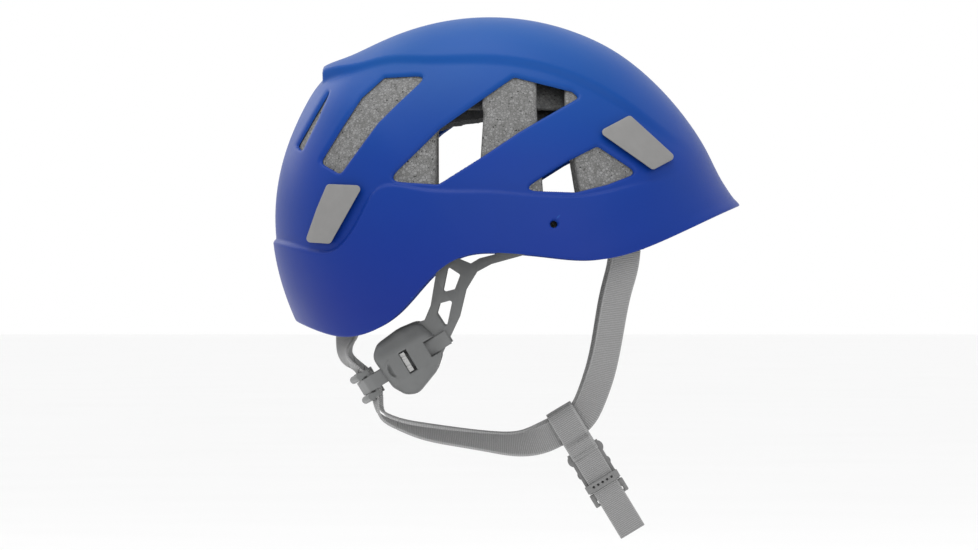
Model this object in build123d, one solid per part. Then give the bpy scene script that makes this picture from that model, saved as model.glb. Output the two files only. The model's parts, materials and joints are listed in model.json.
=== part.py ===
from build123d import *
import os
from math import copysign, cos, radians, sin

# Climbing helmet, size 53 to 61 cm. Millimetres, +X to the face, +Y to the wearer's left, +Z up.
# The origin is the centre of the head opening, level with the headband.

# Shell: every slice across the head is the side profile, shrunk towards one axis across the ears.
half_width = 110.0
roundness = 2.25
axis_height = -30.0
side_profile = [  # degrees about the ear axis from the front, radius
    (8, 149), (17.5, 146.4), (24, 143), (32, 143.3), (42, 144.8), (55, 146.6), (75, 149.9), (95, 152.4),
    (112, 153.8), (124, 155.6), (131, 157.3), (138, 153.8), (150, 146.3), (163, 138), (175, 129.8),
    (190, 120.6), (206, 113.5),
]
shell_wall = 2.0
crest_height = 2.8
band_height = 2.2
rim_line = [
    (150, 18), (132, 10.6), (110, 0.5), (85, -10.5), (54, -18), (27, -16.2), (0, -14), (-20, -15.6),
    (-34, -23.2), (-61, -51.3), (-75, -59.4), (-89, -62), (-108, -57.5), (-140, -43),
]
crest_outline = [
    (-102, 22), (-86, 38), (-70, 46), (-42, 61), (-10, 67), (38, 68), (77, 65), (100, 56), (124, 20),
]
band_line = [
    (-150, -2), (-115, -10.5), (-104, -13), (-95, -12), (-90, -8), (-79, 9.5), (-69, 23.5), (-48, 23),
    (-6, 21), (27, 18.4), (50, 19), (76, 25), (96, 30),
]
rear_window = [(-105, 39), (-93, 32), (-71, 62), (-60, 73), (-42, 90), (-68, 89), (-81, 77), (-92, 60)]
upper_window = [(-66, 28), (-36, 26), (-9, 43), (11, 56.5), (46, 77), (42, 80.5), (8, 89), (-35, 58.5)]
lower_window = [(12, 22.5), (39, 39.5), (56.5, 48.5), (80, 33), (62, 26), (44, 21.5)]
rear_slot = [(-98, 85), (-119, 49), (-116, 46), (-107, 64)]
side_hole_x, side_hole_z, side_hole_radius = 30.5, 2.5, 2.0
stud_pocket_radius, stud_pocket_bottom = 2.8, 96  # hollow in the foam behind each side hole

# Foam liners
liner_gap = 0.3
liner_depth = 24.0
layer_depth = 11.0
crown_edge = 69.0
layer_top = 94.0
liner_above_rim = 4.0
front_vent = [(25, 16), (21, crown_edge), (37, crown_edge), (46, 16)]
middle_vent = [(-36.5, 16), (-36.5, 62), (-29, crown_edge), (-9.5, crown_edge), (-13, 16)]

# Lamp clips
clip_lift = 1.2
clip_thickness = 2.2
clip_foot_gap = 0.15
front_clip = [(56.5, 56), (75, 66), (102, 41.5), (88, 34)]
front_clip_foot = [(75, 62), (96, 42), (88, 36.5), (68, 56)]
rear_clip = [(-100, 26), (-79, 25), (-98, -8.5), (-113, -7.5), (-106, 12)]
rear_clip_foot = [(-98, 23), (-89, 22), (-101, -1), (-109, -5), (-104, 10)]

# Headband, cradle and nape band run round the head on one plan outline.
pivot_x, pivot_z = 18.0, -6.0
band_side = 71.0
pivot_side = 78.0
arm_thickness = 2.0
strip_thickness = 1.3
strip_gap = 0.35
strip_height = 8.3
strip_slope = 31.0
strip_x, strip_z = -54.0, -76.8
strip_front, strip_corner, strip_back, nape_side = 28.0, -25.8, -31.0, 51.0
tooth_pitch, tooth_height, tooth_count = 1.6, 0.6, 15
arm_outline = [
    (20, -12.4), (13, -15), (-5, -20), (-13.5, -24.6), (-19.8, -35), (-23.6, -50.9), (-34, -73), (-40, -83),
    (-52, -94),
    (-60, -92), (-72, -75), (-70, -67), (-60, -58.5), (-44, -53), (-40.3, -44.2), (-37.3, -26.3),
    (-38, -15), (-34, -11), (-22.7, -17.4), (-17, -19.8), (-12, -16.8), (-3.5, -14.6), (8, -9), (14, -3),
]
upper_cell = [(-30.5, -21.5), (-23.1, -26.3), (-26.3, -34.8), (-33.6, -36.6)]
lower_cell = [(-35.2, -43), (-27.6, -40.9), (-31.2, -57.8), (-36.9, -49)]
housing_outline = [
    (-48, -52.5), (-60, -56.5), (-72, -66), (-74, -75), (-61, -94), (-51, -96), (-39, -84), (-33, -73),
    (-40, -60),
]
housing_depth = 7.0
pawl_length, pawl_width = 12.0, 2.8
pawl_gap = 0.5
pin_radius, pin_clearance = 3.0, 0.06
keeper_bar_radius = 2.2

# Webbing
web_width = 16.0
web_thickness = 1.5
junction_x, junction_z = 35.0, -106.4
junction_side = 52.0
chin_lean = 31.3
socket_top, socket_end, plug_end = 24.0, 50.0, 58.5
buckle_width = 20.0
buckle_depth = 7.0
tail_end = 81.0
front_anchor = (73.0, 80.0, -12.0)
rear_anchor = (-88.0, 45.0, -52.0)
anchor_size = (20.0, 5.0, 9.0)


def prism(points, corner=0.0, grow=0.0, reach=130.0):
    """A side outline run through the whole width of the helmet, with rounded corners."""
    face = make_face(Plane.XZ * Polyline(*points, close=True))
    if corner:
        face = fillet(face.vertices(), corner)
    if grow:
        face = offset(face, amount=grow)
    return extrude(face, amount=reach, both=True)


def one_side(shape, side):
    """The same shape on the wearer's left as it is, or mirrored to the right."""
    return shape if side > 0 else mirror(shape, about=Plane.XZ)


def half_space(side):
    """A box that holds one side of the helmet."""
    return Pos(0, side * 100, 0) * Box(600, 200, 600)


def slab(low, high):
    """Everything between two heights."""
    return Pos(0, 0, (low + high) / 2) * Box(400, 400, high - low)


def dome(inset):
    """The closed form of the shell, moved in from its outer face by inset."""
    slices = []
    for step in range(-12, 13):
        turn = radians(87.5) * step / 12
        across = (half_width - inset) * copysign(abs(sin(turn)) ** (2 / roundness), step)
        shrink = cos(turn) ** (2 / roundness)
        line = [
            (
                shrink * (radius - inset) * cos(radians(angle)),
                across,
                axis_height + shrink * (radius - inset) * sin(radians(angle)),
            )
            for angle, radius in side_profile
        ]
        top = Spline(*line)
        slices.append(Wire([top, Line(top @ 1, top @ 0)]))
    return Solid.make_loft(slices)


def above_rim(lift=0.0):
    """Everything above the lower edge of the shell, or above that edge moved up."""
    edge = Spline(*rim_line)
    start, end = edge @ 0, edge @ 1
    sky = Polyline((end.X, end.Y), (end.X, 200), (start.X, 200), (start.X, start.Y))
    face = make_face(Plane.XZ * (Curve() + [edge, sky]))
    return Pos(0, 0, lift) * extrude(face, amount=130, both=True)


def make_shell(outer):
    """Moulded shell with its raised crest, raised lower band, windows and side holes."""
    other_side = [(x, -y) for x, y in reversed(crest_outline)]
    crest_column = extrude(make_face(Spline(*crest_outline, *other_side, periodic=True)), amount=200)
    crest = dome(-crest_height) & crest_column & slab(40, 200)
    line = Spline(*band_line)
    below = Polyline(line @ 1, (150, 34), (170, -120), (-170, -120), line @ 0)
    band_prism = extrude(make_face(Plane.XZ * (Curve() + [line, below])), amount=130, both=True)
    band = dome(-band_height) & band_prism
    body = outer + crest + band
    body = body - dome(shell_wall)
    body = body & above_rim()
    for outline, corner in ((rear_window, 1.5), (upper_window, 2), (lower_window, 1.2), (rear_slot, 0.8)):
        body = body - prism(outline, corner)
    hole = Pos(side_hole_x, 0, side_hole_z) * Rot(90, 0, 0) * Cylinder(side_hole_radius, 260)
    body = body - hole
    for foot in (front_clip_foot, rear_clip_foot):
        body = body - prism(foot, 1.5)
    return body


def make_ring_liner(skin, layer, cavity):
    """Lower foam ring: full depth below the crown liner, ribs of the outer layer above it."""
    lower = (skin - cavity) & slab(-100, crown_edge - liner_gap)
    ribs = (skin - layer) & slab(crown_edge - 1, layer_top)
    for gap in ((-36.5, -10.5), (21, 37)):
        ribs = ribs - Pos(sum(gap) / 2, 0, 90) * Box(gap[1] - gap[0], 300, 60)
    ring = (lower + ribs) & above_rim(liner_above_rim)
    ring = ring - prism(front_vent) - prism(middle_vent)
    for side in (-1, 1):
        for x, y, z in (front_anchor, rear_anchor):
            length, depth, height = anchor_size
            ring = ring - Pos(x, side * y, z - 20 + height) * Box(length + 0.6, depth + 0.6, 42 + height)
    pin_hole = Pos(pivot_x, 0, pivot_z) * Rot(90, 0, 0) * Cylinder(pin_radius + 0.1, 2 * pivot_side + 28)
    pocket = Pos(side_hole_x, 0, side_hole_z) * Rot(90, 0, 0) * Cylinder(stud_pocket_radius, 260)
    pocket = pocket - Box(400, 2 * stud_pocket_bottom, 400)
    return ring - pin_hole - pocket


def make_crown_liner(skin, layer, cavity):
    """Upper foam cap, stepped back at the sides where the ribs of the lower liner lie on it."""
    cap = skin & slab(layer_top + liner_gap, 200)
    core = layer & slab(crown_edge, 200)
    return (cap + core) - cavity


def make_clip(outline, foot, side):
    """Springy lamp clip: a thin plate held off the shell by a foot through the shell wall."""
    plate = (dome(-clip_lift - clip_thickness) - dome(-clip_lift)) & prism(outline, 2.4)
    neck = (dome(-clip_lift - 0.3) - dome(shell_wall)) & prism(foot, 1.5, -clip_foot_gap)
    return one_side((plate + neck) & half_space(1), side)


def ring_wall(path, thickness):
    """A plan line given a thickness and run through the whole height."""
    return Pos(0, 0, -150) * extrude(trace(path, thickness), amount=250)


def make_arm(side):
    """Cradle arm: a flat lattice from the pivot down to the base plate of the adjuster."""
    near, far = pivot_side, band_side
    path = FilletPolyline((pivot_x + 8, near), (pivot_x - 8, near), (-14, far), (-80, far), radius=25)
    boss = Pos(pivot_x, 0, pivot_z) * Rot(90, 0, 0) * Cylinder(7, 260)
    outline = prism(arm_outline, 0.8) + boss
    arm = ring_wall(path, arm_thickness) & outline
    bore = Pos(pivot_x, 0, pivot_z) * Rot(90, 0, 0) * Cylinder(pin_radius + pin_clearance, 260)
    arm = arm - bore - prism(upper_cell, 1.2) - prism(lower_cell, 1.2)
    notch = Pos(-30, 0, 0) * Box(64, 400, strip_height + 1)
    return one_side(arm - strip_plane() * notch, side)


def strip_plane():
    """Sloping frame of the toothed strip: x forwards along it, y to the left, z across it."""
    slope = radians(strip_slope)
    along = (cos(slope), 0, sin(slope))
    return Plane(origin=(strip_x, 0, strip_z), x_dir=along, z_dir=(-sin(slope), 0, cos(slope)))


def strip_side():
    """How far the middle of the strip lies from the middle of the head."""
    return band_side + arm_thickness / 2 + strip_gap + strip_thickness / 2


def make_nape_band():
    """Toothed strip that runs through both adjusters and round the nape."""
    side = strip_side()
    left = [(strip_front, side), (strip_corner, side), (strip_back, nape_side)]
    right = [(x, -y) for x, y in reversed(left)]
    path = FilletPolyline(*left, *right, radius=5)
    band = Pos(0, 0, -strip_height / 2) * extrude(trace(path, strip_thickness), amount=strip_height)
    for index in range(tooth_count):
        along = (index - tooth_count // 2) * tooth_pitch
        tooth = Box(0.8, 2 * side + strip_thickness + 2 * tooth_height, strip_height - 1.6)
        band = band + Pos(along, 0, 0) * tooth
        band = band - Pos(along, 0, 0) * Box(0.9, 2 * side - strip_thickness, strip_height + 2)
    return strip_plane() * band


def make_housing(side):
    """Adjuster housing: a hollow pillow over the strip, with a slot for the pawl."""
    base = band_side + arm_thickness / 2 + 0.02
    face = fillet(make_face(Plane.XZ * Polyline(*housing_outline, close=True)).vertices(), 4)
    body = Pos(0, base + housing_depth, 0) * extrude(face, amount=housing_depth)
    body = chamfer(body.faces().sort_by(Axis.Y)[-1].edges(), 2)
    teeth_room = strip_gap + strip_thickness + tooth_height + 0.4
    channel = Pos(0, base, 0) * Box(140, 2 * teeth_room, strip_height + 0.8)
    slot = Pos(0, base + 15, 0) * Box(pawl_width + 2 * pawl_gap, 30, pawl_length + 2 * pawl_gap)
    return one_side(body - strip_plane() * (channel + slot), side)


def make_pawl(side):
    """Spring pawl of the adjuster: a pressed bar with two low humps."""
    low = strip_side() + strip_thickness / 2 + tooth_height + 0.25
    high = band_side + arm_thickness / 2 + housing_depth - 1.0
    bar = Pos(0, (low + high) / 2, 0) * Box(pawl_width, high - low, pawl_length)
    for along in (-3, 3):
        bar = bar + Pos(0, high - 0.5, along) * Rot(0, 90, 0) * Cylinder(1.1, pawl_width - 0.2)
    return one_side(strip_plane() * bar, side)


def make_pivot_pin(side):
    """Snap pin that carries the cradle arm and the brow band and sits in the foam behind them."""
    inner = pivot_side - arm_thickness / 2 - 1.5
    outer = pivot_side + 13
    pin = Pos(0, (inner + outer) / 2, 0) * Rot(90, 0, 0) * Cylinder(pin_radius, outer - inner)
    head = Pos(0, inner + 0.6, 0) * Rot(90, 0, 0) * Cylinder(pin_radius + 2.2, 1.2)
    return one_side(Pos(pivot_x, 0, pivot_z) * (pin + head), side)


def keeper_place(side):
    """Frame of a strap keeper: x across the webbing, y up its run, z out from the head."""
    slope = strip_plane()
    flat = Vector(strip_corner - strip_back, strip_side() - nape_side).normalized()
    spot = Vector((strip_corner + strip_back) / 2, side * (strip_side() + nape_side) / 2, 0)
    origin = slope.from_local_coords(spot)
    out = slope.from_local_coords(spot + Vector(-flat.Y, side * flat.X, 0)) - origin
    return Plane(origin=origin, x_dir=slope.z_dir.cross(out), z_dir=out)


def make_keeper(side):
    """Strap keeper: two round bars, above and below the nape band, joined at their ends."""
    across = web_width + 5
    reach = strip_height / 2 + keeper_bar_radius + 0.4
    frame = None
    for end in (-1, 1):
        bar = Pos(0, end * reach, 1.4) * Rot(0, 90, 0) * Cylinder(keeper_bar_radius, across)
        cheek = Pos(end * (across / 2 - 1), 0, -3.2) * Box(2, 2 * reach + 3, 2)
        for row in (-1, 1):
            cheek = cheek + Pos(end * (across / 2 - 1), row * reach, -1) * Box(2, 3, 5)
        piece = bar + cheek
        frame = piece if frame is None else frame + piece
    return keeper_place(side) * frame


def webbing(route):
    """Flat webbing through a list of (point, direction across its width)."""
    sections = []
    for index, (point, across) in enumerate(route):
        before = Vector(*route[max(index - 1, 0)][0])
        after = Vector(*route[min(index + 1, len(route) - 1)][0])
        run = (after - before).normalized()
        wide = Vector(*across)
        wide = (wide - run * wide.dot(run)).normalized()
        plane = Plane(origin=point, x_dir=wide, z_dir=run)
        sections.append(plane * Rectangle(web_width, web_thickness))
    return loft([section.face() for section in sections], ruled=True)


def make_side_strap(side):
    """Side strap, one length of webbing: front anchor, junction, keeper, rear anchor."""
    keeper = keeper_place(1)
    inside = keeper.origin - keeper.z_dir * (strip_thickness / 2 + 0.4 + web_thickness / 2)
    top, low = inside + keeper.y_dir * 9, inside - keeper.y_dir * 9
    nape = tuple(-keeper.x_dir)
    across = chin_plane().y_dir
    hold = tuple(across)
    start_x, start_y, start_z = front_anchor
    end_x, end_y, end_z = rear_anchor
    route = [
        ((start_x, start_y, start_z - 0.3), (1, 0, 0)),
        ((start_x - 0.5, start_y - 1, start_z - 8), (1, 0, 0)),
        ((70, 75, -34), (1, -0.1, 0)),
        ((66, 68, -56), (1, -0.2, -0.1)),
        ((61, 60, -80), (1, -0.2, -0.3)),
        ((54, 54.5, -97), (0.8, 0, -0.6)),
        (tuple(strap_crossing(9)), hold),
        (tuple(strap_crossing(-9)), hold),
        ((14, 53.5, -123.5), (0.05, 0.5, -0.9)),
        ((-5, 55, -122.5), (0, 0.6, -0.8)),
        ((-27, 58, -119), (0.05, 0.75, -0.7)),
        ((-46, 60.5, -115), (0.1, 0.85, -0.55)),
        ((-60, 61.5, -109.5), (0.15, 0.95, -0.3)),
        ((-68, 62, -104), (0.1, 1, -0.1)),
        (tuple(low), nape),
        (tuple(top), nape),
        ((-86, 57, -76), (0.3, 0.95, 0)),
        ((-87.5, 49.5, -67), (0.7, 0.7, 0)),
        ((end_x, end_y, end_z - 7), (1, 0, 0)),
        ((end_x, end_y, end_z - 0.3), (1, 0, 0)),
    ]
    return one_side(webbing(route), side)


def strap_crossing(along):
    """A point of the side strap inside the sewn loop, on the wearer's left."""
    plane = chin_plane()
    spot = plane.from_local_coords(Vector(along, -9, 0))
    return Vector(spot.X, junction_side + 0.6, spot.Z)


def make_anchor(place, side):
    """Strap anchor: a small moulded block in a pocket of the foam, over the end of the strap."""
    x, y, z = place
    block = Pos(x, side * y, z + 0.3 + anchor_size[2] / 2) * Box(*anchor_size)
    return fillet(block.edges().filter_by(Axis.Z), 1.5)


def chin_plane():
    """Local frame of the chin webbing: x forwards across it, y up its run, z towards the wearer's right."""
    lean = radians(chin_lean)
    across = (cos(lean), 0, sin(lean))
    return Plane(origin=(junction_x, 0, junction_z), x_dir=across, z_dir=(0, -1, 0))


def sewn_loop():
    """Loop of webbing sewn round the side strap, seen in the chin plane, on the wearer's right."""
    middle = junction_side + 0.6
    band = Pos(0, -9.5, middle) * Box(web_width + 0.8, 20, 5.4)
    return band - Pos(0, -9, middle) * Box(60, 17.2, 2.4)


def chin_strap_right():
    """Sewn loop, the run over the buckle under its bar, and the free tail."""
    face = junction_side + 2.3
    flap = Pos(0, -23.7, face + 0.2) * Box(web_width + 0.8, 9.6, 2.6)
    run = Pos(0, -(27 + tail_end) / 2, face - 0.3) * Box(web_width, tail_end - 27, web_thickness)
    return chin_plane() * (sewn_loop() + flap + run)


def chin_strap_left():
    """Sewn loop on the left, then the run under the chin to the plug's bar."""
    plane = chin_plane()
    spots = [
        (-18.8, -52.8), (-34, -50.5), (-50, -43.5), (-61, -30), (-66, -12), (-67, 6), (-66, 22), (-63.5, 34),
    ]
    spots += [(-60, buckle_level() - 2)]
    route = []
    for along, deep in spots:
        route.append((tuple(plane.from_local_coords(Vector(0, along, deep))), tuple(plane.x_dir)))
    return one_side(plane * sewn_loop(), -1) + webbing(route)


def buckle_level():
    """Height of the buckle's middle along the chin plane's outward direction."""
    return junction_side + 2.0 - web_thickness / 2 - 0.3 - buckle_depth / 2


def make_buckle_socket():
    """Socket of the side-release buckle, with the five-hole adjuster bar over its lower end."""
    level = buckle_level()
    length = socket_end - socket_top
    body = Pos(0, -(socket_top + socket_end) / 2, level) * Box(buckle_width, length, buckle_depth)
    for side in (-1, 1):
        lobe = Pos(side * 7.6, -socket_top - 4, level) * Cylinder(3.9, buckle_depth)
        body = body + lobe
        cut = Pos(side * buckle_width / 2, -(socket_top + 14), level) * Box(7, 11, buckle_depth - 3)
        body = body - cut
    hollow = Pos(0, -socket_end + 9, level) * Box(buckle_width - 4, 19, buckle_depth - 3)
    body = body - hollow
    bar_y = -(socket_end - 3)
    over = level + buckle_depth / 2
    bar = Pos(0, bar_y, over + web_thickness + 1.7) * Box(buckle_width + 1.5, 4.6, 2)
    for side in (-1, 1):
        post = Pos(side * (buckle_width / 2 - 0.4), bar_y, over + 1.2) * Box(2.2, 4.6, 3.4)
        bar = bar + post
    for index in range(-2, 3):
        bar = bar - Pos(index * 3, bar_y, over + 3) * Cylinder(0.75, 8)
    return chin_plane() * (body + bar)


def make_buckle_plug():
    """Plug of the buckle: cross base, guide tongue and the slot that holds the far webbing."""
    level = buckle_level()
    length = plug_end - socket_end - 0.4
    base = Pos(0, -(plug_end + socket_end + 0.4) / 2, level) * Box(buckle_width + 2, length, buckle_depth)
    slot = Pos(0, -(plug_end - 2.6), level) * Box(web_width + 1, 2.4, 30)
    tongue = Pos(0, -(socket_end - 6), level) * Box(3.4, 14, 2.4)
    return chin_plane() * (base - slot + tongue)


def make_prong(side):
    """One spring prong of the plug, its rounded pad showing in the socket's side window."""
    level = buckle_level()
    arm = Pos(side * 5.4, -(socket_end - 5.4), level) * Box(2.4, 11, 3)
    pad = Pos(side * 7.6, -(socket_top + 13.6), level) * Cylinder(3.2, 3)
    return chin_plane() * (arm + pad)


def make_brow_band():
    """Thin plastic band round the forehead, from pivot to pivot."""
    left = [(pivot_x - 8, pivot_side + 2.35), (pivot_x + 5, pivot_side + 2), (50, 72), (78, 55.5), (98, 20)]
    right = [(x, -y) for x, y in reversed(left)]
    wall = ring_wall(Spline(*left, *right), 1.4)
    tilt = Pos(pivot_x, 0, pivot_z + 1) * Rot(0, -14, 0) * Pos(60, 0, 0) * Box(150, 400, 9)
    bore = Pos(pivot_x, 0, pivot_z) * Rot(90, 0, 0) * Cylinder(pin_radius + pin_clearance, 260)
    return (wall & tilt) - bore


def make_brow_pad():
    """Soft pad on the inside of the brow band."""
    left = [(50, 67.8), (75.3, 52.4), (93.6, 19)]
    right = [(x, -y) for x, y in reversed(left)]
    wall = ring_wall(Spline(*left, *right), 4.5)
    tilt = Pos(pivot_x, 0, pivot_z + 2) * Rot(0, -14, 0) * Pos(60, 0, 0) * Box(150, 400, 20)
    return wall & tilt


def make_crown_pads(cavity):
    """Three soft pads under the crown: one along the middle, one on each side."""
    shell = cavity - dome(shell_wall + liner_gap + liner_depth + 5)
    pads = {}
    for name, across in (("middle", 0), ("right", -45), ("left", 45)):
        length, width = (120, 26) if name == "middle" else (80, 20)
        column = extrude(Pos(-4, across, 0) * RectangleRounded(length, width, 9), amount=150)
        pads["crown_pad_" + name] = shell & column & slab(30, 140)
    return pads


def build():
    outer = dome(0)
    skin = dome(shell_wall + liner_gap)
    layer = dome(shell_wall + liner_gap + layer_depth)
    back = dome(shell_wall + 2 * liner_gap + layer_depth)
    cavity = dome(shell_wall + liner_gap + liner_depth)
    pad_face = dome(shell_wall + 2 * liner_gap + liner_depth)
    parts = {"shell": make_shell(outer)}
    parts["ring_liner"] = make_ring_liner(skin, layer, cavity)
    parts["crown_liner"] = make_crown_liner(skin, back, cavity)
    parts.update(make_crown_pads(pad_face))
    parts["brow_band"] = make_brow_band()
    parts["brow_pad"] = make_brow_pad()
    parts["nape_band"] = make_nape_band()
    for side, word in ((-1, "right"), (1, "left")):
        parts["lamp_clip_front_" + word] = make_clip(front_clip, front_clip_foot, side)
        parts["lamp_clip_rear_" + word] = make_clip(rear_clip, rear_clip_foot, side)
        parts["pivot_pin_" + word] = make_pivot_pin(side)
        parts["cradle_arm_" + word] = make_arm(side)
        parts["adjuster_housing_" + word] = make_housing(side)
        parts["adjuster_pawl_" + word] = make_pawl(side)
        parts["strap_keeper_" + word] = make_keeper(side)
        parts["strap_anchor_front_" + word] = make_anchor(front_anchor, side)
        parts["strap_anchor_rear_" + word] = make_anchor(rear_anchor, side)
        parts["side_strap_" + word] = make_side_strap(side)
    parts["chin_strap_right"] = chin_strap_right()
    parts["chin_strap_left"] = chin_strap_left()
    parts["buckle_socket"] = make_buckle_socket()
    parts["buckle_plug"] = make_buckle_plug()
    parts["buckle_prong_front"] = make_prong(1)
    parts["buckle_prong_back"] = make_prong(-1)
    return parts


os.makedirs("parts", exist_ok=True)
for name, part in build().items():
    export_step(part, "parts/" + name + ".step")
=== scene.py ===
import json
import math
import random
import bpy
import numpy as np
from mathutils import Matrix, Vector

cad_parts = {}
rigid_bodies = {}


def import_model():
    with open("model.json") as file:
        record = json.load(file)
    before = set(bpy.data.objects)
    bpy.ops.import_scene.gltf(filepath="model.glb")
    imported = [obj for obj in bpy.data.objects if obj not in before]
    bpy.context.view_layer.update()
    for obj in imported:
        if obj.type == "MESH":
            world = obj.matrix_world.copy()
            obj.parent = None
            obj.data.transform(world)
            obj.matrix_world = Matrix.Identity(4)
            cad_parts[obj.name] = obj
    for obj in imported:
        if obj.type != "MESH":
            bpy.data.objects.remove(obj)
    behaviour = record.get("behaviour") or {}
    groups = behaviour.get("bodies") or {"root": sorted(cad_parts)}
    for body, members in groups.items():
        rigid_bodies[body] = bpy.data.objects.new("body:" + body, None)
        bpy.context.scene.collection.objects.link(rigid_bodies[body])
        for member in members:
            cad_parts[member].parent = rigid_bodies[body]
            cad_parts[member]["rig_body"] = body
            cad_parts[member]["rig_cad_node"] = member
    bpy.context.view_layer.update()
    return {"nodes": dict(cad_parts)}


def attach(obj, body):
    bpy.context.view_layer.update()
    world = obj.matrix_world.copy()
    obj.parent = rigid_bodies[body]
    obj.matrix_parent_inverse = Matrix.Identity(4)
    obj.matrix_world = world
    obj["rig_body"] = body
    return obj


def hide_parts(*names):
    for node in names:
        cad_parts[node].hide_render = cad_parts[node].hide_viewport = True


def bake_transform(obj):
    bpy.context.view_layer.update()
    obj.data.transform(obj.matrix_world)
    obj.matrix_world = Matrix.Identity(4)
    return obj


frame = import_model()
random.seed(7)
print("frame loaded:", len(frame["nodes"]), "nodes")

# camera first: level with the ears, on the wearer's right
view = {"place": (-0.0065, -4.4, -0.0265), "turn": (math.radians(90), 0, 0), "lens": 275.6, "sensor": 36}
bpy.ops.object.select_all(action="DESELECT")
bpy.ops.object.camera_add(location=view["place"], rotation=view["turn"])
camera = bpy.context.object
camera.data.lens = view["lens"]
camera.data.sensor_width = view["sensor"]
bpy.context.scene.camera = camera


def pickOnly(obj):
    bpy.ops.object.select_all(action="DESELECT")
    obj.select_set(True)
    bpy.context.view_layer.objects.active = obj


def applyAll(obj):
    pickOnly(obj)
    for modifier in list(obj.modifiers):
        bpy.ops.object.modifier_apply(modifier=modifier.name)


def pickFaces(obj, chosen):
    # leaves the object in edit mode with only the chosen faces selected
    pickOnly(obj)
    bpy.ops.object.mode_set(mode="EDIT")
    bpy.ops.mesh.select_mode(type="FACE")
    bpy.ops.mesh.select_all(action="DESELECT")
    bpy.ops.object.mode_set(mode="OBJECT")
    obj.data.polygons.foreach_set("select", chosen)
    bpy.ops.object.mode_set(mode="EDIT")


def cutBelowZero(obj, threshold):
    pickOnly(obj)
    bpy.ops.object.mode_set(mode="EDIT")
    bpy.ops.mesh.select_all(action="SELECT")
    bpy.ops.mesh.bisect(plane_co=(0, 0, 0), plane_no=(0, 0, 1), clear_inner=True, threshold=threshold)
    bpy.ops.object.mode_set(mode="OBJECT")


def readCorners(obj):
    co = np.empty(len(obj.data.vertices) * 3)
    obj.data.vertices.foreach_get("co", co)
    return co.reshape(-1, 3)


def writeCorners(obj, co):
    obj.data.vertices.foreach_set("co", co.astype(np.float32).ravel())
    obj.data.update()


def smoothCurve(xs, ys):
    # natural cubic through the points, as a function of numpy arrays
    xs, ys = np.array(xs, float), np.array(ys, float)
    step = np.diff(xs)
    count = len(xs)
    rows = np.eye(count)
    right = np.zeros(count)
    for i in range(1, count - 1):
        rows[i, i - 1:i + 2] = step[i - 1], 2 * (step[i - 1] + step[i]), step[i]
        right[i] = 6 * ((ys[i + 1] - ys[i]) / step[i] - (ys[i] - ys[i - 1]) / step[i - 1])
    bend = np.linalg.solve(rows, right)

    def value(x):
        x = np.asarray(x, float)
        i = np.clip(np.searchsorted(xs, x) - 1, 0, count - 2)
        a, b, h = xs[i + 1] - x, x - xs[i], step[i]
        cubic = (bend[i] * a ** 3 + bend[i + 1] * b ** 3) / (6 * h)
        return cubic + (ys[i] / h - bend[i] * h / 6) * a + (ys[i + 1] / h - bend[i + 1] * h / 6) * b

    return value


def smoothPath(points, count):
    # even samples of a cubic through points of any dimension
    points = np.array(points, float)
    along = np.concatenate([[0], np.cumsum(np.linalg.norm(np.diff(points, axis=0), axis=1))])
    spots = np.linspace(0, along[-1], count)
    return np.stack([smoothCurve(along, points[:, k])(spots) for k in range(points.shape[1])], axis=1)


def roundOutline(points, radius):
    # closed outline with each corner turned into a short curve
    points = [Vector(p) for p in points]
    rounded = []
    for i, corner in enumerate(points):
        before, after = points[i - 1] - corner, points[(i + 1) % len(points)] - corner
        half = before.angle(after) / 2
        reach = min(radius / math.tan(half), 0.45 * before.length, 0.45 * after.length)
        start, end = corner + before.normalized() * reach, corner + after.normalized() * reach
        for t in np.linspace(0, 1, 6):
            rounded.append(tuple((1 - t) ** 2 * start + 2 * t * (1 - t) * corner + t * t * end))
    return rounded


def distanceTo(px, pz, points, closed):
    # unsigned distance to a line of points, and for a closed one whether a spot is inside
    near = np.full(px.shape, 1e9)
    inside = np.zeros(px.shape, bool)
    ends = list(zip(points, points[1:] + points[:1])) if closed else list(zip(points[:-1], points[1:]))
    for (ax, az), (bx, bz) in ends:
        dx, dz = bx - ax, bz - az
        t = np.clip(((px - ax) * dx + (pz - az) * dz) / (dx * dx + dz * dz + 1e-18), 0, 1)
        near = np.minimum(near, np.hypot(px - ax - t * dx, pz - az - t * dz))
        crosses = ((az > pz) != (bz > pz)) & (px < ax + (pz - az) * dx / (dz if dz else 1e-18))
        inside ^= crosses
    return near, inside


def easeStep(t):
    t = np.clip(t, 0, 1)
    return t * t * (3 - 2 * t)


def mm(points):
    return [tuple(v / 1000 for v in p) for p in points]


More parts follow.
